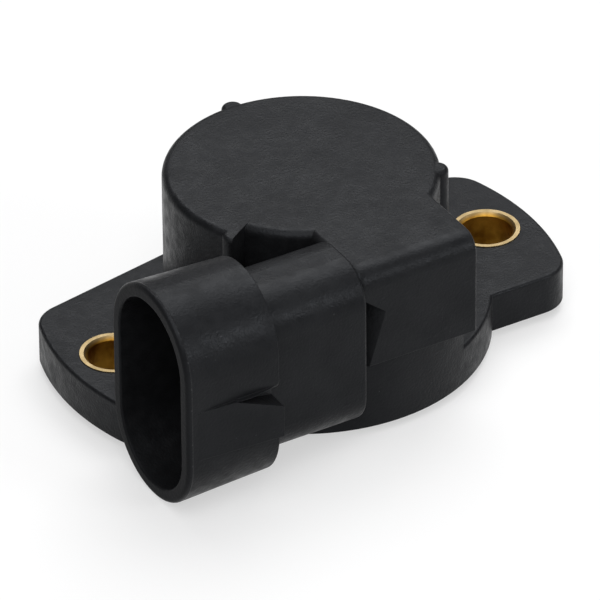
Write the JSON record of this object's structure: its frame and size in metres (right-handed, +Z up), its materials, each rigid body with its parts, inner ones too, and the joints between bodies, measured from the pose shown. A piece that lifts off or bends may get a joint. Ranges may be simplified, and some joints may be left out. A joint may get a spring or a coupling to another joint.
{
  "type": "accelerator potentiometer",
  "caption": "Throttle-angle sensor: black moulded housing with a round drum, an eared flange with brass bushings, an oval connector socket and a sprung rotor with a D-shaped drive socket",
  "frame": {"origin": "on the rotor axis, on the mounting face, midway between the two fixing holes", "axes": "+X along the line of the fixing holes, away from the socket mouth; -Y the side of the terminal block; +Z up, away from the face that it is fixed to"},
  "size_m": [0.0522, 0.0376, 0.023],
  "materials": {
    "black_plastic": "black glass-filled moulding with a fine satin grain",
    "cover_plastic": "black moulded plate, satin",
    "bushing_brass": "turned brass with fine tool marks",
    "terminal_tin": "tin-plated stamped brass",
    "plate_laminate": "cut laminate",
    "carbon_ink": "printed carbon, dull",
    "silver_ink": "printed silver, satin",
    "seal_rubber": "moulded rubber, matt",
    "washer_steel": "stamped steel",
    "spring_steel": "drawn spring wire",
    "rotor_plastic": "natural off-white bearing plastic",
    "wiper_bronze": "thin rolled spring bronze"
  },
  "bodies": {
    "housing": {"housing": "black_plastic", "cover": "cover_plastic", "bushing_left": "bushing_brass", "bushing_right": "bushing_brass", "terminal_ground": "terminal_tin", "terminal_signal": "terminal_tin", "terminal_supply": "terminal_tin", "resistor_plate": "plate_laminate", "resistor_track": "carbon_ink", "collector_track": "carbon_ink", "conductor_pads": "silver_ink", "hub_seal": "seal_rubber", "thrust_washer": "washer_steel", "return_spring": "spring_steel"},
    "rotor": {"rotor": "rotor_plastic", "wiper": "wiper_bronze", "wiper_rivets": "wiper_bronze"}
  },
  "joints": [
    {"name": "rotor_turn", "type": "hinge", "parent": "housing", "child": "rotor", "pos_m": [0, 0, 0], "axis": [0, 0, 1], "range_deg": [0, 100], "stiffness_Nm_per_rad": 0.004, "springref_deg": -22.92, "deforming": ["return_spring"]}
  ]
}
